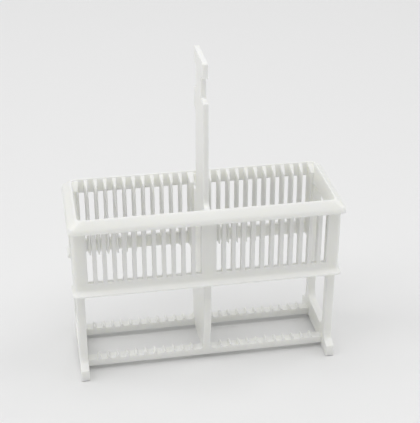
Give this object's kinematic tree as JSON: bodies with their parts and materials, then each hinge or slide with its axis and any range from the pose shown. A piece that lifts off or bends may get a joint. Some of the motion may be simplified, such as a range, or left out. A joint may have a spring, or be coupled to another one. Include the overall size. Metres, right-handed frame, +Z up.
{
  "type": "slide staining rack",
  "caption": "White plastic rack with slotted walls, open ends, a flanged rim, toed feet and a tall flat handle, for staining microscope slides in a jar.",
  "frame": {"origin": "on the floor, under the middle of the rack, level with the undersides of the feet", "axes": "+Z up along the handle, +X along the row of slides, +Y across them towards the handle's stepped edge"},
  "size_m": [0.0904, 0.0344, 0.1077],
  "materials": {
    "white_plastic": "satin white moulded plastic, slightly warm"
  },
  "bodies": {
    "root": {"slide_rack": "white_plastic"}
  },
  "joints": []
}
